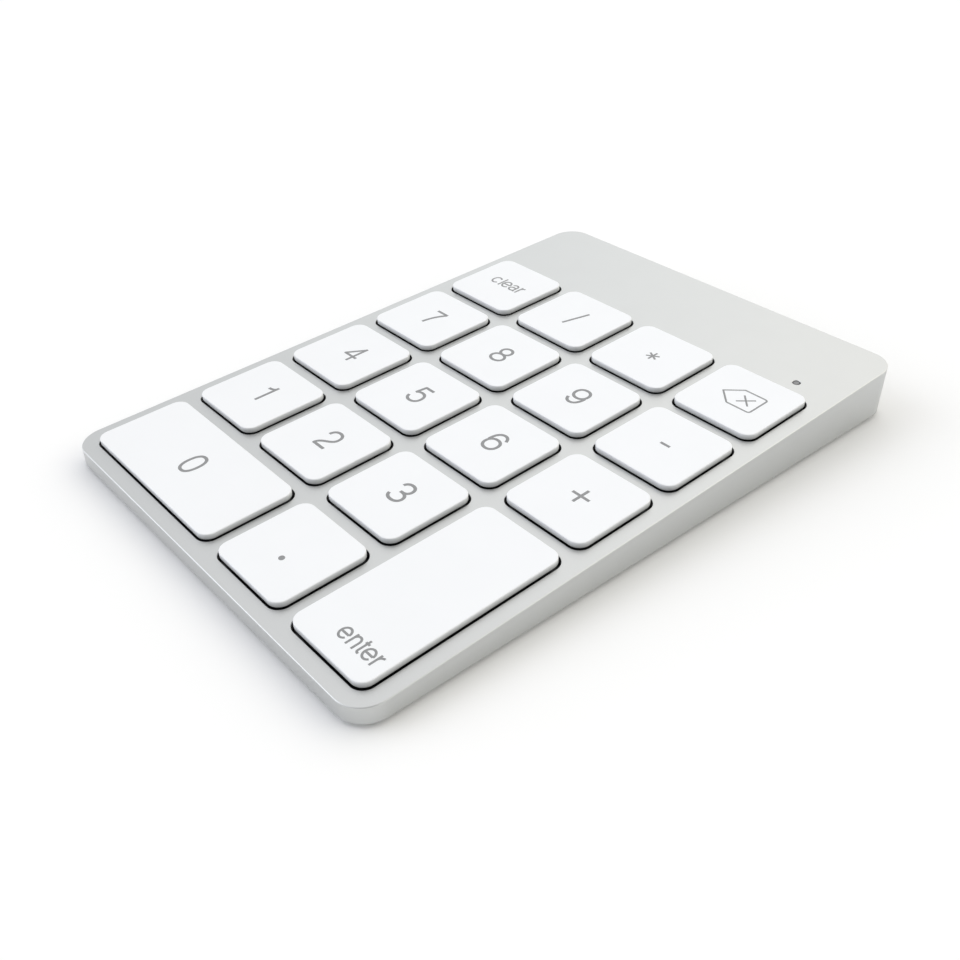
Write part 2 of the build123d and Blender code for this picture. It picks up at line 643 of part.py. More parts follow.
with BuildPart() as feet:
    with BuildSketch(Plane.XY):
        with Locations(*FOOT_SPOTS):
            Circle(FOOT_R)
    extrude(amount=FOOT_H + FOOT_RECESS)
    fillet(feet.faces().group_by(Axis.Z)[0].edges(), radius=FOOT_EDGE_R)
write(feet.part, "feet")

with BuildPart() as cover_screws:
    head_z = WALL_Z + SCREW_SINK
    cone_z = head_z + SCREW_HEAD_R - SCREW_R
    with BuildSketch(Plane.XY.offset(head_z)):
        with Locations(*SCREW_SPOTS):
            Circle(SCREW_R)
    extrude(amount=SCREW_TIP_Z - head_z)
    for spot in SCREW_SPOTS:
        with BuildSketch(Plane.XY.offset(head_z)):
            with Locations(spot):
                Circle(SCREW_HEAD_R)
        with BuildSketch(Plane.XY.offset(cone_z)):
            with Locations(spot):
                Circle(SCREW_R)
        loft()
    with BuildSketch(Plane.XY.offset(head_z)):
        with Locations(*SCREW_SPOTS):
            Rectangle(SCREW_CROSS[0], SCREW_CROSS[1])
            Rectangle(SCREW_CROSS[1], SCREW_CROSS[0])
    extrude(amount=SCREW_CROSS[2], mode=Mode.SUBTRACT)
write(cover_screws.part, "cover_screws")


# ================================================================ board and what it carries
BOARD_CENTRE = ((BOARD_LEFT + BOARD_RIGHT) / 2, (BOARD_FRONT + BOARD_BACK) / 2)

with BuildPart() as main_board:
    with BuildSketch(Plane.XY.offset(BOARD_Z)):
        with Locations(BOARD_CENTRE):
            RectangleRounded(BOARD_RIGHT - BOARD_LEFT, BOARD_BACK - BOARD_FRONT, BOARD_CORNER_R)
        with Locations(*[spot for spot in SCREW_SPOTS if spot[0] > 0]):
            Circle(PASS_R, mode=Mode.SUBTRACT)
    extrude(amount=BOARD_T)
write(main_board.part, "main_board")

# radio module, microcontroller, charger and crystal: centre, size and height
CHIPS = [
    ((24.5, 45.5), (7.0, 7.0), 1.0),
    ((2.5, 41.0), (5.0, 5.0), 0.9),
    ((24.0, 40.0), (3.0, 3.0), 0.8),
    ((29.8, 47.5), (2.5, 2.0), 0.7),
]
with BuildPart() as board_chips:
    for centre, size, height in CHIPS:
        with BuildSketch(Plane.XY.offset(BOARD_TOP)):
            with Locations(centre):
                Rectangle(*size)
        extrude(amount=height)
write(board_chips.part, "board_chips")

with BuildPart() as tail_connector:
    with BuildSketch(Plane.XY.offset(BOARD_TOP)):
        with Locations((TAIL_X, CONNECTOR_Y)):
            Rectangle(CONNECTOR_SIZE[0], CONNECTOR_SIZE[1])
    extrude(amount=CONNECTOR_SIZE[2])
    fillet(tail_connector.edges().filter_by(Axis.Z), radius=CONNECTOR_R)
write(tail_connector.part, "tail_connector")

with BuildPart() as battery_cell:
    with BuildSketch(Plane.XY.offset(FLOOR_Z + CELL_LIFT)):
        with Locations(CELL_CENTRE):
            Rectangle(CELL_SIZE[0], CELL_SIZE[1])
    extrude(amount=CELL_SIZE[2])
    fillet(battery_cell.edges().filter_by(Axis.X), radius=CELL_EDGE_R)
write(battery_cell.part, "battery_cell")

# two wires arch from the cell's end to solder points on the board; the arch is measured from the
# cell's end and the board's top
cell_end = CELL_CENTRE[0] + CELL_SIZE[0] / 2 + CELL_LIFT
LEAD_ARCH = [(0.0, 0.0), (1.4, 1.2), (3.0, 0.5)]
with BuildPart() as battery_wires:
    for lead_y in (CELL_CENTRE[1] - LEAD_SPACING / 2, CELL_CENTRE[1] + LEAD_SPACING / 2):
        with BuildLine() as lead_path:
            Spline(
                *[(cell_end + run, lead_y, BOARD_TOP + rise) for run, rise in LEAD_ARCH],
                tangents=((1, 0, 0), (1, 0, -1)),
            )
        with BuildSketch(Plane(origin=lead_path.line @ 0, z_dir=lead_path.line % 0)):
            Circle(LEAD_R)
        sweep()
write(battery_wires.part, "battery_wires")

with BuildPart() as charging_port:
    port_plane = REAR.shift_origin((PORT_X, DEPTH / 2, PORT_Z)).offset(PORT_SINK)
    with BuildSketch(port_plane):
        RectangleRounded(PORT_SIZE[0], PORT_SIZE[2], PORT_R)
    extrude(amount=PORT_SIZE[1])
    with BuildSketch(port_plane):
        with BuildLine():
            Polyline(*PORT_MOUTH, close=True)
        make_face()
    extrude(amount=PORT_SIZE[1] - PORT_BACK_T, mode=Mode.SUBTRACT)
    with BuildSketch(port_plane.offset(TONGUE_SINK)):
        with Locations((0, TONGUE_HEIGHT)):
            Rectangle(*TONGUE_SIZE)
    extrude(amount=PORT_SIZE[1] - PORT_BACK_T / 2 - TONGUE_SINK)
write(charging_port.part, "charging_port")


# ================================================================ rear controls and status light
KNOB_REST_X = SWITCH_X - SWITCH_THROW / 2

with BuildPart() as power_switch_body:
    switch_plane = REAR.shift_origin((SWITCH_X, DEPTH / 2, CONTROL_Z)).offset(WALL_T + CONTROL_GAP)
    with BuildSketch(switch_plane):
        Rectangle(SWITCH_SIZE[0], SWITCH_SIZE[2])
    extrude(amount=SWITCH_SIZE[1])
    with BuildSketch(switch_plane):
        Rectangle(KNOB_NECK[0] + SWITCH_THROW + 2 * KNOB_NECK_PLAY, KNOB_NECK[1] + 2 * KNOB_NECK_PLAY)
    extrude(amount=SWITCH_WELL, mode=Mode.SUBTRACT)
write(power_switch_body.part, "power_switch_body")

with BuildPart() as power_switch_slider:
    knob_plane = REAR.shift_origin((KNOB_REST_X, DEPTH / 2, CONTROL_Z)).offset(KNOB_SINK)
    with BuildSketch(knob_plane):
        SlotOverall(*KNOB_SIZE)
    extrude(amount=WALL_T - KNOB_SINK)
    with BuildSketch(knob_plane):
        Rectangle(*KNOB_NECK)
    extrude(amount=WALL_T + KNOB_NECK_REACH)
    with BuildSketch(knob_plane):
        with Locations((-KNOB_GROOVE_PITCH, 0), (0, 0), (KNOB_GROOVE_PITCH, 0)):
            Rectangle(KNOB_GROOVE[0], KNOB_GROOVE[1])
    extrude(amount=KNOB_GROOVE[2], mode=Mode.SUBTRACT)
write(power_switch_slider.part, "power_switch_slider")

with BuildPart() as pairing_switch:
    push_plane = REAR.shift_origin((PAIRING_X, DEPTH / 2, CONTROL_Z)).offset(WALL_T + PAIRING_GAP)
    with BuildSketch(push_plane):
        Rectangle(PAIRING_BODY[0], PAIRING_BODY[2])
    extrude(amount=PAIRING_BODY[1])
    with BuildSketch(push_plane):
        Circle(PAIRING_WELL_R)
    extrude(amount=PAIRING_STEM_IN + 2 * PAIRING_THROW, mode=Mode.SUBTRACT)
write(pairing_switch.part, "pairing_switch")

with BuildPart() as pairing_button:
    cap_plane = REAR.shift_origin((PAIRING_X, DEPTH / 2, CONTROL_Z)).offset(PAIRING_SINK)
    with BuildSketch(cap_plane):
        Circle(PAIRING_R)
    extrude(amount=WALL_T)
    with BuildSketch(cap_plane):
        Circle(PAIRING_STEM_R)
    extrude(amount=WALL_T + PAIRING_STEM_REACH)
    fillet(pairing_button.faces().sort_by(Axis.Y)[-1].edges(), radius=PAIRING_EDGE_R)
write(pairing_button.part, "pairing_button")

with BuildPart() as status_lens:
    with BuildSketch(DECK.offset(LENS_TOP_W)):
        with Locations((LENS_X, LENS_V)):
            Circle(LENS_R)
    extrude(amount=LENS_END_W - LENS_TOP_W)
    with BuildSketch(DECK.offset(-DECK_T - LENS_FLANGE_GAP)):
        with Locations((LENS_X, LENS_V)):
            Circle(LENS_FLANGE_R)
    extrude(amount=-LENS_FLANGE_T)
write(status_lens.part, "status_lens")

lamp = DECK.from_local_coords(Vector(LENS_X, LENS_V, LENS_END_W))
with BuildPart() as status_led:
    with BuildSketch(Plane.XY.offset(BOARD_TOP)):
        with Locations((lamp.X, lamp.Y)):
            Rectangle(LED_SIZE[0], LED_SIZE[1])
    extrude(amount=LED_SIZE[2])
write(status_led.part, "status_led")
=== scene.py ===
import json
from math import ceil, cos, radians, sin, tau

import bmesh
import bpy
import numpy as np
from mathutils import Matrix, Vector


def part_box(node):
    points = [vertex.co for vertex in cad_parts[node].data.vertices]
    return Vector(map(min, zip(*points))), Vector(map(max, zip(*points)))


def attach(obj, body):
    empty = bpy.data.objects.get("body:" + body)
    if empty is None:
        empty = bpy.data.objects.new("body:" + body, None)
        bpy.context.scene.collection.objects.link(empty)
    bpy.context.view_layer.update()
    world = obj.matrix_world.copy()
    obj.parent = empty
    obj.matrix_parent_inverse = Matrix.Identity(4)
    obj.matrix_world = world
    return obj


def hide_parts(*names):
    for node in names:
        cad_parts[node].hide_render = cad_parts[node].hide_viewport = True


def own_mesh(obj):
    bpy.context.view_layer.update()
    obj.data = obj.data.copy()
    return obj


# Looks of the wireless numeric keypad. Blender's unit is the metre, so sizes below are written in
# millimetres times MM. The row frame is the part's own: +X to the right, +Y to the back, +Z up.

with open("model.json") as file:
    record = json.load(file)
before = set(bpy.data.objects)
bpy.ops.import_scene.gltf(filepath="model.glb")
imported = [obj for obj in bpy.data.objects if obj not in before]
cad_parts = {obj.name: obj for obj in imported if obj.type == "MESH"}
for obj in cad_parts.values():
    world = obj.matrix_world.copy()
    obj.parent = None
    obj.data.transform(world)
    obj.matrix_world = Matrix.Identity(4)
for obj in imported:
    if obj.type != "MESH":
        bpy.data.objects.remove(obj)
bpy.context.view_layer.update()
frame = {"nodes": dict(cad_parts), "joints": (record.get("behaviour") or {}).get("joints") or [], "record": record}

MM = 0.001
NODES = frame["nodes"]
JOINTS = {joint["name"]: joint for joint in frame["joints"]}
KEYS = [name[len("keycap_"):] for name in NODES if name.startswith("keycap_")]

# ---- Directions of the sloping deck
UP = -Vector(JOINTS["key_7_press"]["axis"]).normalized()
RIGHT = Vector((1, 0, 0))
BACK = UP.cross(RIGHT)
TRAVEL = JOINTS["key_7_press"]["range_m"][1]


def span(node, direction):
    """Lowest and highest reach of a node along a direction."""
    reach = [vertex.co.dot(direction) for vertex in NODES[node].data.vertices]
    return min(reach), max(reach)


DECK_LEVEL = span("top_shell", UP)[1]


def key_spot(key, level):
    """Placing matrix on the middle of a key at a level along UP: x to the right, y to the back."""
    x = sum(span(f"keycap_{key}", RIGHT)) / 2
    y = sum(span(f"keycap_{key}", BACK)) / 2
    axes = Matrix((RIGHT, BACK, UP)).transposed().to_4x4()
    return Matrix.Translation(RIGHT * x + BACK * y + UP * level) @ axes


# ================================================================ materials
def shader_node(tree, kind, inputs=None, **settings):
    """Add a shader node. An input is set to a value, or linked if the value is another node's socket."""
    made = tree.nodes.new(kind)
    for name, value in settings.items():
        setattr(made, name, value)
    for name, value in (inputs or {}).items():
        if isinstance(value, bpy.types.NodeSocket):
            tree.links.new(value, made.inputs[name])
        else:
            made.inputs[name].default_value = value
    return made


def noise(tree, size, detail=2.0, stretch=(1, 1, 1)):
    """Noise that moves with the piece, with features of the given size in metres."""
    place = shader_node(tree, "ShaderNodeTexCoord").outputs["Object"]
    scaled = shader_node(tree, "ShaderNodeVectorMath", {0: place, 1: stretch}, operation="MULTIPLY")
    return shader_node(
        tree, "ShaderNodeTexNoise",
        {"Vector": scaled.outputs["Vector"], "Scale": 1 / size, "Detail": detail},
    ).outputs["Fac"]


def mapped(tree, value, low, high, start=0.3, stop=0.7):
    """A value stretched from start..stop to low..high."""
    return shader_node(
        tree, "ShaderNodeMapRange",
        {"Value": value, "From Min": start, "From Max": stop, "To Min": low, "To Max": high},
    ).outputs["Result"]


def mixed(tree, factor, first, second):
    """Mix of two colours, each a value or a socket."""
    made = shader_node(tree, "ShaderNodeMix", data_type="RGBA")
    for name, value in (("Factor_Float", factor), ("A_Color", first), ("B_Color", second)):
        socket = next(s for s in made.inputs if s.identifier == name)
        if isinstance(value, bpy.types.NodeSocket):
            tree.links.new(value, socket)
        else:
            socket.default_value = value
    return next(s for s in made.outputs if s.identifier == "Result_Color")


def tinted(colour, factor):
    return (colour[0] * factor, colour[1] * factor, colour[2] * factor, 1.0)


def surface(name, colour, roughness, metallic=0.0, grain=0.15, relief=2.0, mottle=5.0, spread=0.03,
            gloss_spread=0.08, stretch=(1, 1, 1), extras=None):
    """Principled material with mottled colour, uneven gloss and a fine relief.

    grain and mottle are feature sizes in millimetres, relief is a depth in micrometres, and the two
    spreads are the shares by which the colour and the gloss vary. The gloss has patches a third as large.
    """
    material = bpy.data.materials.new(name)
    material.use_nodes = True
    tree = material.node_tree
    principled = tree.nodes["Principled BSDF"]
    patches = noise(tree, mottle * MM, 3.0, stretch)
    dark, light = tinted(colour, 1 - spread), tinted(colour, 1 + spread)
    shade = mixed(tree, mapped(tree, patches, 0.0, 1.0), dark, light)
    gloss = mapped(tree, noise(tree, mottle * MM / 3, 2.0, stretch),
                   roughness * (1 - gloss_spread), roughness * (1 + gloss_spread))
    bump = shader_node(
        tree, "ShaderNodeBump",
        {"Height": noise(tree, grain * MM, 2.0, stretch), "Distance": relief * 1e-6, "Strength": 1.0},
    )
    tree.links.new(shade, principled.inputs["Base Color"])
    tree.links.new(gloss, principled.inputs["Roughness"])
    tree.links.new(bump.outputs["Normal"], principled.inputs["Normal"])
    principled.inputs["Metallic"].default_value = metallic
    for key, value in (extras or {}).items():
        principled.inputs[key].default_value = value
    return material


def recolour(material, factor, colour):
    """Lay a second colour over a material's own where the factor is 1."""
    tree = material.node_tree
    socket = tree.nodes["Principled BSDF"].inputs["Base Color"]
    own = socket.links[0].from_socket
    tree.links.new(mixed(tree, factor, own, colour), socket)


def height_over_deck(tree):
    """Height over the deck along its normal, at rest, in metres."""
    place = shader_node(tree, "ShaderNodeTexCoord").outputs["Object"]
    along = shader_node(tree, "ShaderNodeVectorMath", {0: place, 1: UP}, operation="DOT_PRODUCT")
    return shader_node(
        tree, "ShaderNodeMath", {0: along.outputs["Value"], 1: DECK_LEVEL}, operation="SUBTRACT"
    ).outputs["Value"]


def anodised_aluminium():
    """Bead-blasted and clear anodised: a fine even grain, satin, with very faint large patches."""
    return surface("anodised_aluminium", (0.594, 0.603, 0.599), 0.42, metallic=1.0, grain=0.11, relief=3.0,
                   mottle=14.0, spread=0.004, gloss_spread=0.02)


SKIRT_TOP = 0.07 * MM           # the white outer wall of a keycap ends just above this
SKIRT_BLEND = 0.01 * MM
WALL_TOP = 0.86 * MM            # and its rounded upper edge starts here
EDGE_BLEND = 0.10 * MM
# Painted shade: the keycap wall is greyed towards its foot, standing in for the shade that falls near the deck.
WALL_PAINTED_SHADE = (0.42, 0.43, 0.435, 1)
PAINTED_SHADE_LEFT_AT_TOP = 0.15           # share of the painted shade's grey at the wall's top; it is whole at the foot
# Painted shade: the inset skirt is painted black, standing in for the deep shade in the narrow gap between key and
# deck.
SKIRT_PAINTED_SHADE_BLACK = (0.006, 0.006, 0.006, 1)


def keycap_white():
    """White satin top, a wall greyed by painted shade towards its foot, and an inset skirt painted black as shade.
    """
    material = surface("keycap_white", (0.861, 0.871, 0.887), 0.38, grain=0.25, relief=1.2, mottle=8.0,
                       spread=0.006)
    tree = material.node_tree
    height = height_over_deck(tree)
    # Painted shade: grey laid over the wall, whole at its foot and fading towards its top.
    shade = mapped(tree, height, 1.0, PAINTED_SHADE_LEFT_AT_TOP, SKIRT_TOP, WALL_TOP)
    wall = mapped(tree, height, 1.0, 0.0, WALL_TOP, WALL_TOP + EDGE_BLEND)
    painted_wall_shade = shader_node(tree, "ShaderNodeMath", {0: shade, 1: wall}, operation="MULTIPLY")
    recolour(material, painted_wall_shade.outputs["Value"], WALL_PAINTED_SHADE)
    # Painted shade: the skirt in the gap round the key is painted black.
    skirt = mapped(tree, height, 1.0, 0.0, SKIRT_TOP, SKIRT_TOP + SKIRT_BLEND)
    recolour(material, skirt, SKIRT_PAINTED_SHADE_BLACK)
    return material


def white_cover():
    """Moulded cover with a fine spark-eroded texture."""
    return surface("white_cover", (0.80, 0.80, 0.79), 0.55, grain=0.3, relief=8.0, mottle=10.0, spread=0.015)


def link_plastic():
    return surface("link_plastic", (0.75, 0.75, 0.72), 0.40, grain=0.2, relief=1.5, mottle=3.0,
                   extras={"Subsurface Weight": 0.1, "Subsurface Scale": 0.5 * MM})


def foot_rubber():
    return surface("foot_rubber", (0.30, 0.30, 0.30), 0.75, grain=0.12, relief=6.0, mottle=2.0, spread=0.08)


def dome_silicone():
    return surface("dome_silicone", (0.78, 0.78, 0.76), 0.32, grain=0.4, relief=1.0, mottle=3.0,
                   extras={"Subsurface Weight": 0.25, "Subsurface Scale": 0.8 * MM})


def black_steel():
    """Sheet with a black coating that shows a faint orange-peel relief."""
    return surface("black_steel", (0.018, 0.018, 0.02), 0.5, grain=0.5, relief=5.0, mottle=6.0, spread=0.15)


def screw_steel():
    return surface("screw_steel", (0.60, 0.60, 0.62), 0.30, metallic=1.0, grain=0.08, relief=2.0, mottle=0.6,
                   spread=0.08)


def wire_steel():
    """Drawn wire: fine lines that run along it."""
    return surface("wire_steel", (0.58, 0.58, 0.59), 0.28, metallic=1.0, grain=0.05, relief=1.5, mottle=0.8,
                   spread=0.06, stretch=(0.1, 1, 1))


def membrane_film():
    """Black printed film."""
    return surface("membrane_film", (0.012, 0.012, 0.014), 0.38, grain=0.4, relief=1.5, mottle=5.0,
                   spread=0.2)


def board_laminate():
    """Solder mask over copper lines, which show as slightly lighter strips in two directions."""
    material = surface("board_laminate", (0.015, 0.11, 0.05), 0.35, grain=0.3, relief=3.0, mottle=3.0,
                       spread=0.1)
    tree = material.node_tree
    place = shader_node(tree, "ShaderNodeTexCoord").outputs["Object"]
    strips = shader_node(
        tree, "ShaderNodeTexBrick",
        {"Vector": place, "Scale": 1 / MM, "Color1": (0, 0, 0, 1), "Color2": (0.3, 0.3, 0.3, 1),
         "Mortar": (1, 1, 1, 1), "Mortar Size": 0.06, "Brick Width": 2.4, "Row Height": 0.9},
    )
    recolour(material, strips.outputs["Color"], (0.04, 0.22, 0.10, 1))
    return material


def chip_epoxy():
    return surface("chip_epoxy", (0.02, 0.02, 0.02), 0.6, grain=0.12, relief=5.0, mottle=1.5, spread=0.15)


def connector_plastic():
    return surface("connector_plastic", (0.70, 0.68, 0.60), 0.5, grain=0.2, relief=3.0, mottle=2.0)


def cell_foil():
    """Aluminium pouch: crumpled foil under a satin film."""
    return surface("cell_foil", (0.66, 0.66, 0.67), 0.34, metallic=1.0, grain=1.4, relief=60.0, mottle=6.0,
                   spread=0.05)


def wire_insulation():
    """Silicone insulation: one wire red, the other black, parted along their middle."""
    material = surface("wire_insulation", (0.45, 0.02, 0.02), 0.45, grain=0.3, relief=3.0, mottle=1.0)
    tree = material.node_tree
    low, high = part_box("battery_wires")
    middle = (low.y + high.y) / 2
    place = shader_node(tree, "ShaderNodeTexCoord").outputs["Object"]
    y = shader_node(tree, "ShaderNodeSeparateXYZ", {"Vector": place}).outputs["Y"]
    second = shader_node(tree, "ShaderNodeMath", {0: y, 1: middle}, operation="GREATER_THAN")
    recolour(material, second.outputs["Value"], (0.015, 0.015, 0.015, 1))
    return material


def port_steel():
    """Drawn and nickel-plated steel shell with faint lines along the drawing direction."""
    return surface("port_steel", (0.62, 0.61, 0.58), 0.28, metallic=1.0, grain=0.06, relief=2.0, mottle=1.2,
                   spread=0.05, stretch=(1, 0.1, 1))


def control_plastic():
    """Grey moulded plastic of the switch, its knob and the pairing button."""
    return surface("control_plastic", (0.42, 0.42, 0.43), 0.48, grain=0.12, relief=4.0, mottle=1.5,
                   spread=0.04)


def led_plastic():
    return surface("led_plastic", (0.85, 0.85, 0.70), 0.3, grain=0.2, relief=1.0, mottle=0.5)


LENS_CORE_R = 0.42 * MM
LENS_BLEND = 0.10 * MM


def light_pipe():
    """Frosted core in a rim painted dark as the shade in the gap round the lens, parted by the distance from the
    pipe's axis.
    """
    material = surface("light_pipe", (0.20, 0.20, 0.205), 0.30, grain=0.15, relief=2.0, mottle=0.5)
    tree = material.node_tree
    low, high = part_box("status_lens")
    middle = (Vector(low) + Vector(high)) / 2
    place = shader_node(tree, "ShaderNodeTexCoord").outputs["Object"]
    offset = shader_node(
        tree, "ShaderNodeVectorMath", {0: place, 1: middle}, operation="SUBTRACT"
    ).outputs["Vector"]
    aside = shader_node(
        tree, "ShaderNodeVectorMath", {0: offset, 1: UP}, operation="CROSS_PRODUCT"
    ).outputs["Vector"]
    reach = shader_node(tree, "ShaderNodeVectorMath", {0: aside}, operation="LENGTH").outputs["Value"]
    # Painted shade: the rim of the lens is painted dark for the shade in the gap between the lens and its hole.
    rim = mapped(tree, reach, 0.0, 1.0, LENS_CORE_R, LENS_CORE_R + LENS_BLEND)
    recolour(material, rim, (0.012, 0.012, 0.014, 1))
    return material


def legend_ink():
    """Grey printing with a slightly uneven cover."""
    return surface("legend_ink", (0.262, 0.265, 0.269), 0.55, grain=0.1, relief=2.0, mottle=0.6, spread=0.05)


MATERIALS = {
    make.__name__: make()
    for make in (
        anodised_aluminium, keycap_white, white_cover, link_plastic, foot_rubber, dome_silicone, black_steel,
        screw_steel, wire_steel, membrane_film, board_laminate, chip_epoxy, connector_plastic, cell_foil,
        wire_insulation, port_steel, control_plastic, led_plastic, light_pipe,
    )
}
LEGEND_INK = legend_ink()

for subpart in frame["record"]["subparts"]:
    slots = NODES[subpart["node"]].data.materials
    slots.clear()
    slots.append(MATERIALS[subpart["material_slot"]])


# ================================================================ pieces
def new_piece(name, mesh, material, body):
    """Add a finished mesh to the scene as a piece that rides on a body."""
    piece = bpy.data.objects.new(name, mesh)
    bpy.context.scene.collection.objects.link(piece)
    mesh.materials.clear()
    mesh.materials.append(material)
    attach(piece, body)
    return piece


# ---- Rubber domes: the profile runs from the crown's middle down the outside, back up the inside and
# down the plunger
FLANGE_R = 3.0 * MM
FLANGE_T = 0.2 * MM
FLANGE_BREAK = 0.05 * MM        # broken edge of the flange's rim
BELL_INSET = 0.5 * MM           # from the flange's rim to the bell's outside
FLANGE_WIDTH = 0.7 * MM         # and to its inside
CROWN_R = 1.6 * MM
CROWN_T = 0.6 * MM
CROWN_BREAK = 0.12 * MM
BELL_T = 0.16 * MM
PLUNGER_R = 0.7 * MM
DOME_TURNS = 48
DOME_LEVELS = span("rubber_domes", UP)
WELD = 1e-4 * MM                # vertices closer than this are made one


def bell(outer_r, inner_r, low, high, steps=8):
    """S-shaped wall from an outer radius at the foot to an inner radius at the crown."""
    return [
        (outer_r + (inner_r - outer_r) * (3 - 2 * t) * t * t, low + (high - low) * t)
        for t in (step / steps for step in range(steps + 1))
    ]


def dome_mesh(name, spot):
    """Rubber dome, turned about its axis, on a placing matrix."""
    height = DOME_LEVELS[1] - DOME_LEVELS[0]
    profile = [(0, height), (CROWN_R - CROWN_BREAK, height), (CROWN_R, height - CROWN_BREAK)]
    profile += bell(FLANGE_R - BELL_INSET, CROWN_R, FLANGE_T, height - 2 * CROWN_BREAK)[::-1]
    profile += [(FLANGE_R - FLANGE_BREAK, FLANGE_T), (FLANGE_R, FLANGE_T - FLANGE_BREAK), (FLANGE_R, 0)]
    profile += bell(FLANGE_R - FLANGE_WIDTH, CROWN_R - BELL_T, 0, height - CROWN_T)
    profile += [(PLUNGER_R, height - CROWN_T), (PLUNGER_R, TRAVEL), (0, TRAVEL)]
    mesh = bmesh.new()
    rings = [mesh.verts.new((r, 0, z)) for r, z in profile]
    edges = [mesh.edges.new(pair) for pair in zip(rings, rings[1:])]
    bmesh.ops.spin(mesh, geom=rings + edges, cent=(0, 0, 0), axis=(0, 0, 1), angle=tau, steps=DOME_TURNS,
                   use_merge=True)
    bmesh.ops.remove_doubles(mesh, verts=mesh.verts, dist=WELD)
    bmesh.ops.recalc_face_normals(mesh, faces=mesh.faces)
    for face in mesh.faces:
        face.smooth = True
    mesh.transform(spot)
    made = bpy.data.meshes.new(name)
    mesh.to_mesh(made)
    mesh.free()
    return made


# ---- Scissor links: the CAD shape with its moulded edges softened
LINK_EDGE_R = 0.05 * MM
SHARP = radians(40)
FLAT = radians(1)               # faces that meet at less than this are merged


def softened_mesh(name, node):
    """Copy of a node's mesh with its sharp edges bevelled."""
    mesh = bmesh.new()
    mesh.from_mesh(NODES[node].data)
    bmesh.ops.remove_doubles(mesh, verts=mesh.verts, dist=WELD)
    bmesh.ops.dissolve_limit(mesh, angle_limit=FLAT, verts=mesh.verts, edges=mesh.edges)
    sharp = [edge for edge in mesh.edges if edge.is_manifold and edge.calc_face_angle() > SHARP]
    bmesh.ops.bevel(mesh, geom=sharp, offset=LINK_EDGE_R, segments=2, profile=0.5, affect="EDGES",
                    clamp_overlap=True)
    made = bpy.data.meshes.new(name)
    mesh.to_mesh(made)
    mesh.free()
    return made


for key in KEYS:
    spot = key_spot(key, DOME_LEVELS[0])

    dome = new_piece(f"rubber_dome_{key}", dome_mesh(f"rubber_dome_{key}", spot),
                     MATERIALS["dome_silicone"], "housing")
    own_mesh(dome)
    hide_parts("rubber_domes")

    links = new_piece(f"scissor_links_{key}", softened_mesh(f"scissor_links_{key}", f"scissor_{key}"),
                      MATERIALS["link_plastic"], "housing")
    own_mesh(links)
    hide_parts(f"scissor_{key}")


# ================================================================ legends
# A legend is a set of strokes, drawn as centre lines. Digits stand on a baseline in a box one unit
# high; letters take the height of an x as their unit. The signs are drawn in millimetres.
ARC_STEP = 6                    # degrees
ARC_LEAST_STEPS = 6
BEZIER_STEPS = 12


def line(*points):
    return list(points)


def arc(centre, radii, start, end, squareness=2.0):
    """Points on an ellipse from one angle to another in degrees; squareness over 2 fills its corners."""
    steps = max(ARC_LEAST_STEPS, ceil(abs(end - start) / ARC_STEP))
    points = []
    for step in range(steps + 1):
        angle = radians(start + (end - start) * step / steps)
        c, s = cos(angle), sin(angle)
        x = abs(c) ** (2 / squareness) * (1 if c > 0 else -1)
        y = abs(s) ** (2 / squareness) * (1 if s > 0 else -1)
        points.append((centre[0] + radii[0] * x, centre[1] + radii[1] * y))
    return points


def bezier(*controls):
    """Points on the Bezier curve of any number of control points."""
    points = []
    for step in range(BEZIER_STEPS + 1):
        t = step / BEZIER_STEPS
        level = [Vector(control) for control in controls]
        while len(level) > 1:
            level = [first.lerp(second, t) for first, second in zip(level, level[1:])]
        points.append(tuple(level[0]))
    return points


def turned(strokes, centre):
    """The strokes turned upside down about a centre."""
    return [[(2 * centre[0] - x, 2 * centre[1] - y) for x, y in stroke] for stroke in strokes]


DIGIT_H = 4.9                   # outer height of a digit, in millimetres
DIGIT_STROKE = 0.54
DIGIT_UNIT = DIGIT_H - DIGIT_STROKE
DIGIT_HALF = DIGIT_STROKE / 2 / DIGIT_UNIT      # half a stroke, in digit units
BOWL = 2.2                      # squareness of the open bowls
DIGIT_MIDDLE = (0.315, 0.5)
SIX = [
    arc((0.315, 0.315), (0.315, 0.315), 0, 360, 2.15),
    arc((0.325, 0.5), (0.325, 0.5), 28, 182, 2.2),
]
DIGITS = {
    "0": [arc((0.315, 0.5), (0.315, 0.5), 0, 360, 2.35)],
    "1": [line((0.42, -DIGIT_HALF), (0.42, 1 + DIGIT_HALF)), arc((0.10, 1.0), (0.32, 0.20), 0, -90)],
    "2": [arc((0.315, 0.70), (0.295, 0.30), 180, -30, BOWL)
          + bezier((0.570, 0.55), (0.47, 0.35), (0.06, 0.30), (0.03, 0.0)) + line((0.64, 0.0))],
    "3": [arc((0.31, 0.755), (0.265, 0.245), 175, -90, BOWL) + line((0.22, 0.51)),
          line((0.22, 0.51)) + arc((0.31, 0.255), (0.315, 0.255), 90, -172, BOWL)],
    "4": [line((0.49, 1.0), (0.0, 0.29), (0.71, 0.29)), line((0.49, -DIGIT_HALF), (0.49, 1 + DIGIT_HALF))],
    "5": [line((0.59, 1.0), (0.13, 1.0), (0.06, 0.52)), arc((0.31, 0.325), (0.315, 0.325), 142, -168, BOWL)],
    "6": SIX,
    "7": [line((-0.02, 1.0), (0.62, 1.0)), bezier((0.60, 1.0), (0.26, 0.58), (0.19, -DIGIT_HALF))],
    "8": [arc((0.315, 0.76), (0.255, 0.24), 0, 360), arc((0.315, 0.26), (0.315, 0.26), 0, 360)],
    "9": turned(SIX, DIGIT_MIDDLE),
}

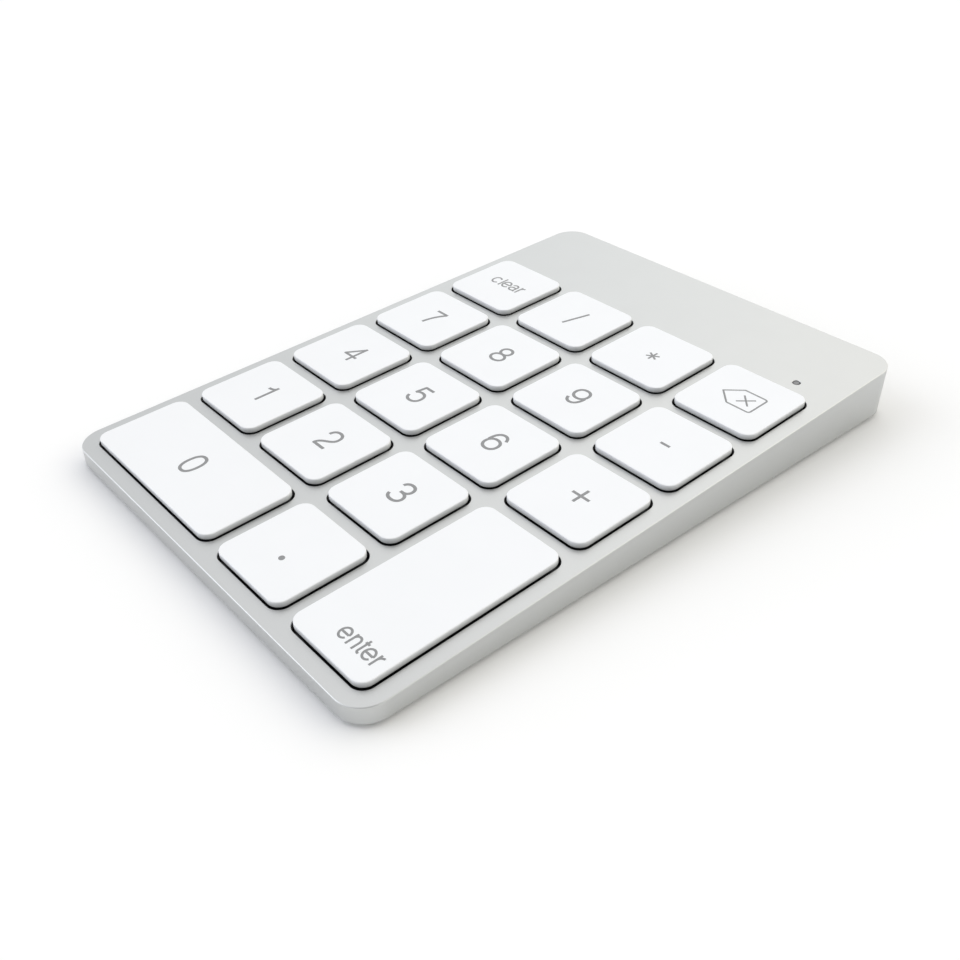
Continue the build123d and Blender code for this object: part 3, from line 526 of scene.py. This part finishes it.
LETTER_HALF = 0.09              # about half a letter's stroke, in units of the height of an x
LETTERS = {                     # free space on the left, width, free space on the right, and strokes
    "a": (0.055, 0.78, 0.136, [
        arc((0.36, 0.70), (0.32, 0.30), 165, 0) + line((0.68, 0.10), (0.78, -LETTER_HALF * 0.6)),
        line((0.68, 0.56)) + arc((0.34, 0.27), (0.34, 0.27), 75, 330),
    ]),
    "c": (0.0, 0.82, 0.14, [arc((0.41, 0.5), (0.41, 0.5), 38, 322)]),
    "e": (0.09, 0.845, 0.16, [line((0.0, 0.5), (0.845, 0.5)), arc((0.4225, 0.5), (0.4225, 0.5), 0, 325)]),
    "l": (0.20, 0.0, 0.155, [line((0.0, -LETTER_HALF), (0.0, 1.30))]),
    "n": (0.20, 0.65, 0.20, [
        line((0.0, -LETTER_HALF), (0.0, 1 + LETTER_HALF)),
        arc((0.325, 0.62), (0.325, 0.38), 180, 0) + line((0.65, -LETTER_HALF)),
    ]),
    "r": (0.16, 0.39, 0.0, [
        line((0.0, -LETTER_HALF), (0.0, 1 + LETTER_HALF)),
        arc((0.45, 0.55), (0.45, 0.45), 180, 98),
    ]),
    "t": (0.053, 0.44, 0.053, [
        line((0.0, 1.0), (0.44, 1.0)),
        line((0.19, 1.33)) + arc((0.37, 0.18), (0.18, 0.18), 180, 270) + line((0.44, 0.0)),
    ]),
}

STAR_R = 1.22
STAR_STROKE = 0.37
DOT_RING_R = 0.20               # the point is a ring whose stroke is wide enough to fill it
DOT_STROKE = 0.58
ICON_STROKE = 0.315
ICON_SIZE = (7.16, 5.0)         # centre lines of the erase sign's frame
ICON_SLANT = 2.65               # length of the pointed part
ICON_R = 0.5
ICON_CROSS = (1.15, 1.15)       # half width and half height of the cross in it
ICON_CROSS_SHIFT = 1.08         # of the cross to the right


def icon_strokes():
    """Erase sign: a frame with a point on the left, and a cross inside it."""
    half_w, half_h = ICON_SIZE[0] / 2, ICON_SIZE[1] / 2
    neck = -half_w + ICON_SLANT
    corner = (half_w - ICON_R, half_h - ICON_R)
    outline = line((-half_w, 0), (neck, half_h))
    outline += arc(corner, (ICON_R, ICON_R), 90, 0)
    outline += arc((corner[0], -corner[1]), (ICON_R, ICON_R), 0, -90)
    outline += line((neck, -half_h), (-half_w, 0))
    x, y = ICON_CROSS
    left, right = ICON_CROSS_SHIFT - x, ICON_CROSS_SHIFT + x
    return [outline, line((left, -y), (right, y)), line((left, y), (right, -y))]


def word_strokes(word, unit):
    """A word's strokes in millimetres, centred on the origin with its baseline below."""
    strokes = []
    pen = 0.0
    for letter in word:
        left, width, right, shapes = LETTERS[letter]
        strokes += [[(pen + left + x, y) for x, y in shape] for shape in shapes]
        pen += left + width + right
    middle = pen / 2
    return [[((x - middle) * unit, (y - 0.5) * unit) for x, y in stroke] for stroke in strokes]


def digit_strokes(digit):
    """A digit's strokes in millimetres, centred on the origin."""
    return [
        [((x - DIGIT_MIDDLE[0]) * DIGIT_UNIT, (y - DIGIT_MIDDLE[1]) * DIGIT_UNIT) for x, y in stroke]
        for stroke in DIGITS[digit]
    ]


def star_strokes():
    """Six-armed star of three strokes through the origin."""
    tips = [(STAR_R * cos(radians(angle)), STAR_R * sin(radians(angle))) for angle in (90, 30, -30)]
    return [line((-x, -y), (x, y)) for x, y in tips]


WORD_STROKE = 0.355
ENTER_UNIT = 1.90
CLEAR_UNIT = 2.03
PLUS_R = 1.715
MINUS_R = 0.935
SLASH = (0.79, 2.80)
PLUS_STROKE = 0.5
SLASH_STROKE = 0.475
FOUR_STROKE = 0.50
DIGIT_PLACES = {                # on the key's top, from its middle, in millimetres
    "7": (0.38, 0.15), "8": (0.36, 0.20), "9": (0.29, 0.27),
    "4": (0.39, 0.37), "5": (0.31, 0.28), "6": (0.33, 0.37),
    "1": (0.41, 0.45), "2": (0.48, 0.50), "3": (0.36, 0.47),
    "0": (0.48, -0.03),
}
LEGENDS = {                     # strokes, stroke width, and place on the key, in millimetres
    "clear": (word_strokes("clear", CLEAR_UNIT), WORD_STROKE, (0.44, 0.08)),
    "divide": ([line((-SLASH[0], -SLASH[1]), SLASH)], SLASH_STROKE, (0.33, 0.0)),
    "multiply": (star_strokes(), STAR_STROKE, (0.24, -0.05)),
    "backspace": (icon_strokes(), ICON_STROKE, (0.18, 0.05)),
    "minus": ([line((-MINUS_R, 0), (MINUS_R, 0))], PLUS_STROKE, (0.26, 0.10)),
    "plus": ([line((-PLUS_R, 0), (PLUS_R, 0)), line((0, -PLUS_R), (0, PLUS_R))], PLUS_STROKE, (0.29, 0.27)),
    "enter": (word_strokes("enter", ENTER_UNIT), WORD_STROKE, (2.45, -13.17)),
    "point": ([arc((0, 0), (DOT_RING_R, DOT_RING_R), 0, 360)], DOT_STROKE, (0.43, -1.97)),
}
for digit, digit_place in DIGIT_PLACES.items():
    LEGENDS[digit] = (digit_strokes(digit), FOUR_STROKE if digit == "4" else DIGIT_STROKE, digit_place)


END_REACH = 1.5                 # a square end is cut within this many half strokes of the end
CLOSED = 1e-6                   # a stroke is closed if its ends are nearer than this, in millimetres


def stroke_depth(stroke, half, grid):
    """How far each grid point is inside a stroke: positive inside, with the open ends cut square."""
    points = np.array(stroke)
    nearest = np.full(grid.shape[:2], np.inf)
    for start, end in zip(points, points[1:]):
        along = end - start
        length = along @ along
        if length == 0:
            continue
        share = np.clip(((grid - start) @ along) / length, 0, 1)
        nearest = np.minimum(nearest, np.linalg.norm(grid - start - share[..., None] * along, axis=-1))
    depth = half - nearest
    if np.linalg.norm(points[0] - points[-1]) > CLOSED:
        for end, before in ((points[0], points[1]), (points[-1], points[-2])):
            outward = (end - before) / np.linalg.norm(end - before)
            near = np.linalg.norm(grid - end, axis=-1) < END_REACH * half
            depth = np.where(near, np.minimum(depth, -((grid - end) @ outward)), depth)
    return depth


def outlines(depth, corner, step):
    """Closed outlines of the area where depth is positive, found by marching through the grid's cells."""
    inside = depth > 0
    cells = inside[:-1, :-1].astype(int) + inside[1:, :-1] + inside[:-1, 1:] + inside[1:, 1:]
    following = {}
    for i, j in np.argwhere((cells > 0) & (cells < 4)):
        corners = [(i, j), (i + 1, j), (i + 1, j + 1), (i, j + 1)]
        sides = [(corners[k], corners[(k + 1) % 4]) for k in range(4)]
        crossed = [(a, b) for a, b in sides if inside[a] != inside[b]]
        for k, (a, b) in enumerate(crossed):
            if inside[a]:
                entry = crossed[(k + 1) % len(crossed)]
                following[frozenset((a, b))] = frozenset(entry)

    def crossing(side):
        a, b = sorted(side)
        share = depth[a] / (depth[a] - depth[b])
        return [corner[axis] + step * (a[axis] + share * (b[axis] - a[axis])) for axis in (0, 1)]

    loops = []
    while following:
        side = next(iter(following))
        loop = []
        while side in following:
            loop.append(crossing(side))
            side = following.pop(side)
        loops.append(loop)
    return loops


LEGEND_STEP = 0.035             # grid of the outlines, in millimetres
INK_T = 0.012 * MM
INK_SINK = 0.004 * MM           # its lower face is just inside the keycap
INK_WELD = 0.005 * MM           # outline points closer than this are made one


def legend_mesh(name, strokes, width, spot):
    """Thin solid of a legend's shape, on a placing matrix."""
    half = width / 2
    points = np.array([point for stroke in strokes for point in stroke])
    low = points.min(0) - 2 * half
    high = points.max(0) + 2 * half
    xs, ys = (np.arange(a, b, LEGEND_STEP) for a, b in zip(low, high))
    grid = np.stack(np.meshgrid(xs, ys, indexing="ij"), axis=-1)
    depth = np.max([stroke_depth(stroke, half, grid) for stroke in strokes], axis=0)
    mesh = bmesh.new()
    for loop in outlines(depth, low, LEGEND_STEP):
        corners = [mesh.verts.new((x * MM, y * MM, -INK_SINK)) for x, y in loop]
        for first, second in zip(corners, corners[1:] + corners[:1]):
            mesh.edges.new((first, second))
    bmesh.ops.remove_doubles(mesh, verts=mesh.verts, dist=INK_WELD)
    bmesh.ops.triangle_fill(mesh, edges=mesh.edges, use_beauty=True, normal=(0, 0, 1))
    raised = bmesh.ops.extrude_face_region(mesh, geom=mesh.faces[:])["geom"]
    lifted = [item for item in raised if isinstance(item, bmesh.types.BMVert)]
    bmesh.ops.translate(mesh, verts=lifted, vec=(0, 0, INK_T + INK_SINK))
    bmesh.ops.recalc_face_normals(mesh, faces=mesh.faces)
    mesh.transform(spot)
    made = bpy.data.meshes.new(name)
    mesh.to_mesh(made)
    mesh.free()
    return made


for key in KEYS:
    strokes, width, place = LEGENDS[key]
    top = key_spot(key, span(f"keycap_{key}", UP)[1])
    spot = top @ Matrix.Translation((place[0] * MM, place[1] * MM, 0))
    new_piece(f"legend_{key}", legend_mesh(f"legend_{key}", strokes, width, spot), LEGEND_INK,
              f"key_{key}")


# ================================================================ floor, light and camera
FLOOR_SIZE = 6.0
FLOOR_WHITE = 0.94
FLOOR_SIGNS = [(-1, -1), (1, -1), (1, 1), (-1, 1)]

floor_corners = [(x * FLOOR_SIZE / 2, y * FLOOR_SIZE / 2, 0) for x, y in FLOOR_SIGNS]
floor_mesh = bpy.data.meshes.new("floor")
floor_mesh.from_pydata(floor_corners, [], [range(4)])
floor = bpy.data.objects.new("floor", floor_mesh)
bpy.context.scene.collection.objects.link(floor)
floor_paint = surface("floor_paint", (FLOOR_WHITE,) * 3, 0.9, grain=2.0, relief=1.0, mottle=60.0, spread=0.0,
                      extras={"Specular IOR Level": 0.0})
floor_mesh.materials.append(floor_paint)

# A white light tent: even light from all round, and broad soft lamps behind its cloth. Each lamp has an
# azimuth (0 in front, 90 on the right) and an elevation in degrees, and its colour.
TENT_LEVEL = 0.48
LAMP_SHARPNESS = 8.0
LAMPS = [
    ((135, 30), (1.40, 1.40, 1.24)),
    ((180, 30), (0.86, 0.80, 0.70)),
    ((225, 30), (0.60, 0.64, 0.66)),
    ((225, 60), (0.48, 0.45, 0.45)),
    ((315, 30), (2.24, 2.32, 2.52)),
]


def direction(azimuth, elevation):
    """Unit vector towards an azimuth and elevation in degrees."""
    a, e = radians(azimuth), radians(elevation)
    return Vector((sin(a) * cos(e), -cos(a) * cos(e), sin(e)))


def light_tent():
    """World shader: the sum of the even light and the lamps. The camera itself sees plain white."""
    world = bpy.data.worlds.new("light_tent")
    bpy.context.scene.world = world
    world.use_nodes = True
    tree = world.node_tree
    outward = shader_node(tree, "ShaderNodeTexCoord").outputs["Generated"]
    total = (TENT_LEVEL,) * 3
    for place, colour in LAMPS:
        facing = shader_node(
            tree, "ShaderNodeVectorMath", {0: outward, 1: direction(*place)}, operation="DOT_PRODUCT"
        ).outputs["Value"]
        ahead = shader_node(
            tree, "ShaderNodeMath", {0: facing, 1: 0.0}, operation="MAXIMUM"
        ).outputs["Value"]
        glow = shader_node(
            tree, "ShaderNodeMath", {0: ahead, 1: LAMP_SHARPNESS}, operation="POWER"
        ).outputs["Value"]
        lamp = shader_node(
            tree, "ShaderNodeVectorMath", {0: colour, "Scale": glow}, operation="SCALE"
        ).outputs["Vector"]
        total = shader_node(
            tree, "ShaderNodeVectorMath", {0: lamp, 1: total}, operation="ADD"
        ).outputs["Vector"]
    tent = tree.nodes["Background"]
    tree.links.new(total, tent.inputs["Color"])
    backdrop = shader_node(tree, "ShaderNodeBackground", {"Color": (1, 1, 1, 1), "Strength": 1.0})
    seen = shader_node(tree, "ShaderNodeLightPath").outputs["Is Camera Ray"]
    both = shader_node(
        tree, "ShaderNodeMixShader",
        {0: seen, 1: tent.outputs["Background"], 2: backdrop.outputs["Background"]},
    )
    tree.links.new(both.outputs["Shader"], tree.nodes["World Output"].inputs["Surface"])


light_tent()

# The camera looks down from the front right.
CAMERA_FROM = direction(49.07, 35.51)
CAMERA_DISTANCE = 163.1 * MM
CAMERA_TARGET = Vector((13.864, -15.531, 4.955)) * MM
CAMERA_LENS = 40.0
CAMERA_SENSOR = 36.0

camera = bpy.data.objects.new("camera", bpy.data.cameras.new("camera"))
camera.data.lens = CAMERA_LENS
camera.data.sensor_width = CAMERA_SENSOR
camera.data.clip_start = 0.01
camera.data.clip_end = 100
camera.location = CAMERA_TARGET + CAMERA_FROM * CAMERA_DISTANCE
camera.rotation_euler = CAMERA_FROM.to_track_quat("Z", "Y").to_euler()
bpy.context.scene.collection.objects.link(camera)
bpy.context.scene.camera = camera
bpy.context.scene.view_settings.view_transform = "Standard"
